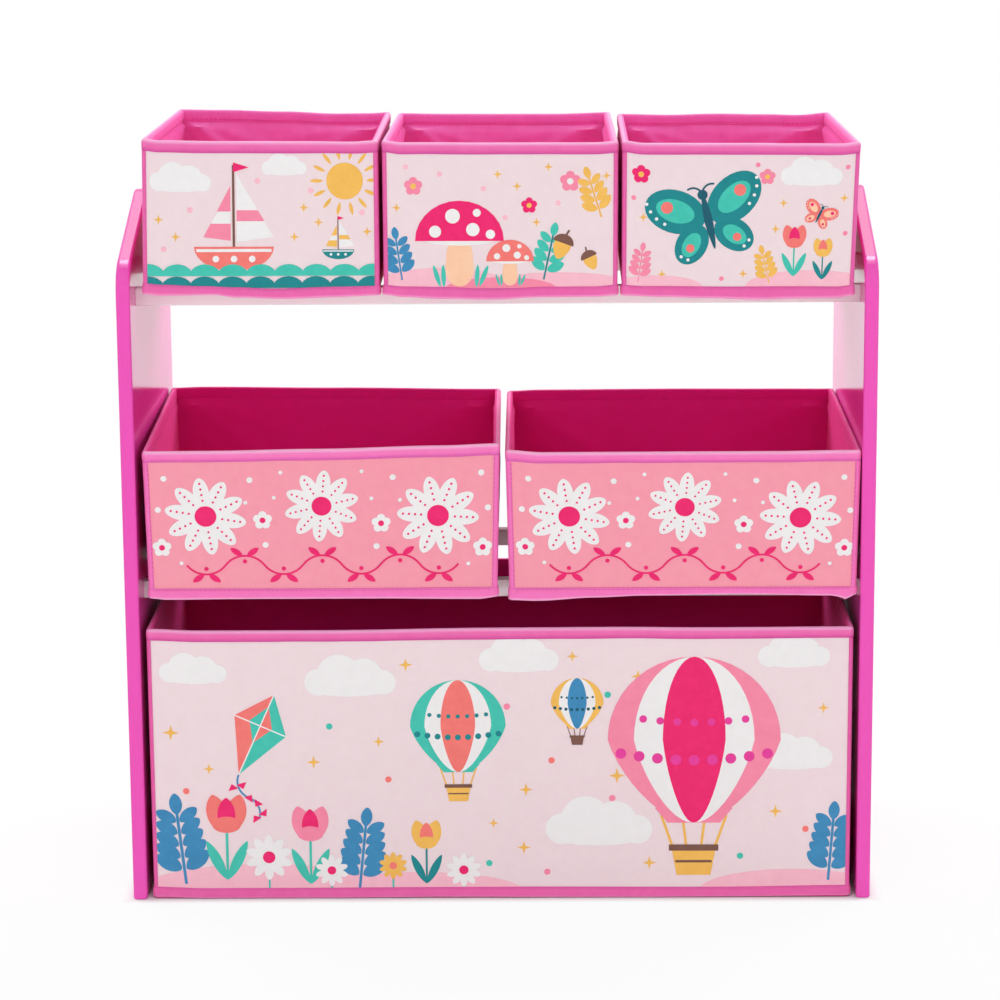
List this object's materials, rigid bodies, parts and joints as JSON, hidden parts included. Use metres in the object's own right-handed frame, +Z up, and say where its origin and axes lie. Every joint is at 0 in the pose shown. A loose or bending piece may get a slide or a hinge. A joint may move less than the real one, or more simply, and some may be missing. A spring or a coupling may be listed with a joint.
{
  "type": "toy organiser rack",
  "caption": "Children's toy organiser rack: gabled pink side panels joined by slim white rails that carry open, tape-bound fabric storage bins which slide out to the front.",
  "frame": {"origin": "on the floor under the middle of the rack's outer box", "axes": "+X to the right seen from the front, +Y to the back, +Z up"},
  "size_m": [0.635, 0.3, 0.651],
  "materials": {
    "pink_lacquer": "satin-gloss pink lacquer on board",
    "white_lacquer": "satin white lacquer on board",
    "zinc_steel": "bright zinc plate",
    "pink_plastic": "moulded",
    "pale_print": "printed coated fabric, pale pink",
    "salmon_print": "printed coated fabric, salmon pink",
    "pink_tape": "woven edge tape",
    "pink_nonwoven": "nonwoven lining, hot pink",
    "covered_board": "grey board wrapped in hot pink lining",
    "grey_board": "bare grey board"
  },
  "bodies": {
    "frame": {"left_side_panel": "pink_lacquer", "right_side_panel": "pink_lacquer", "top_front_rail": "white_lacquer", "top_rear_rail": "white_lacquer", "middle_front_rail": "white_lacquer", "middle_rear_rail": "white_lacquer", "rail_screws": "zinc_steel", "screw_caps": "pink_plastic"},
    "top_left_bin": {"top_left_bin_cover": "pale_print", "top_left_bin_tape": "pink_tape", "top_left_bin_floor_panel": "pink_nonwoven", "top_left_bin_base_board": "covered_board", "top_left_bin_front_board": "grey_board", "top_left_bin_back_board": "grey_board", "top_left_bin_left_board": "grey_board", "top_left_bin_right_board": "grey_board"},
    "top_centre_bin": {"top_centre_bin_cover": "pale_print", "top_centre_bin_tape": "pink_tape", "top_centre_bin_floor_panel": "pink_nonwoven", "top_centre_bin_base_board": "covered_board", "top_centre_bin_front_board": "grey_board", "top_centre_bin_back_board": "grey_board", "top_centre_bin_left_board": "grey_board", "top_centre_bin_right_board": "grey_board"},
    "top_right_bin": {"top_right_bin_cover": "pale_print", "top_right_bin_tape": "pink_tape", "top_right_bin_floor_panel": "pink_nonwoven", "top_right_bin_base_board": "covered_board", "top_right_bin_front_board": "grey_board", "top_right_bin_back_board": "grey_board", "top_right_bin_left_board": "grey_board", "top_right_bin_right_board": "grey_board"},
    "middle_left_bin": {"middle_left_bin_cover": "salmon_print", "middle_left_bin_tape": "pink_tape", "middle_left_bin_floor_panel": "pink_nonwoven", "middle_left_bin_base_board": "covered_board", "middle_left_bin_front_board": "grey_board", "middle_left_bin_back_board": "grey_board", "middle_left_bin_left_board": "grey_board", "middle_left_bin_right_board": "grey_board"},
    "middle_right_bin": {"middle_right_bin_cover": "salmon_print", "middle_right_bin_tape": "pink_tape", "middle_right_bin_floor_panel": "pink_nonwoven", "middle_right_bin_base_board": "covered_board", "middle_right_bin_front_board": "grey_board", "middle_right_bin_back_board": "grey_board", "middle_right_bin_left_board": "grey_board", "middle_right_bin_right_board": "grey_board"},
    "bottom_bin": {"bottom_bin_cover": "pale_print", "bottom_bin_tape": "pink_tape", "bottom_bin_floor_panel": "pink_nonwoven", "bottom_bin_base_board": "covered_board", "bottom_bin_front_board": "grey_board", "bottom_bin_back_board": "grey_board", "bottom_bin_left_board": "grey_board", "bottom_bin_right_board": "grey_board"}
  },
  "joints": [
    {"name": "top_left_bin_pull", "type": "slide", "parent": "frame", "child": "top_left_bin", "axis": [0, -1, 0], "range_m": [0, 0.28]},
    {"name": "top_centre_bin_pull", "type": "slide", "parent": "frame", "child": "top_centre_bin", "axis": [0, -1, 0], "range_m": [0, 0.28]},
    {"name": "top_right_bin_pull", "type": "slide", "parent": "frame", "child": "top_right_bin", "axis": [0, -1, 0], "range_m": [0, 0.28]},
    {"name": "middle_left_bin_pull", "type": "slide", "parent": "frame", "child": "middle_left_bin", "axis": [0, -1, 0], "range_m": [0, 0.28]},
    {"name": "middle_right_bin_pull", "type": "slide", "parent": "frame", "child": "middle_right_bin", "axis": [0, -1, 0], "range_m": [0, 0.28]},
    {"name": "bottom_bin_pull", "type": "slide", "parent": "frame", "child": "bottom_bin", "axis": [0, -1, 0], "range_m": [0, 0.28]}
  ]
}
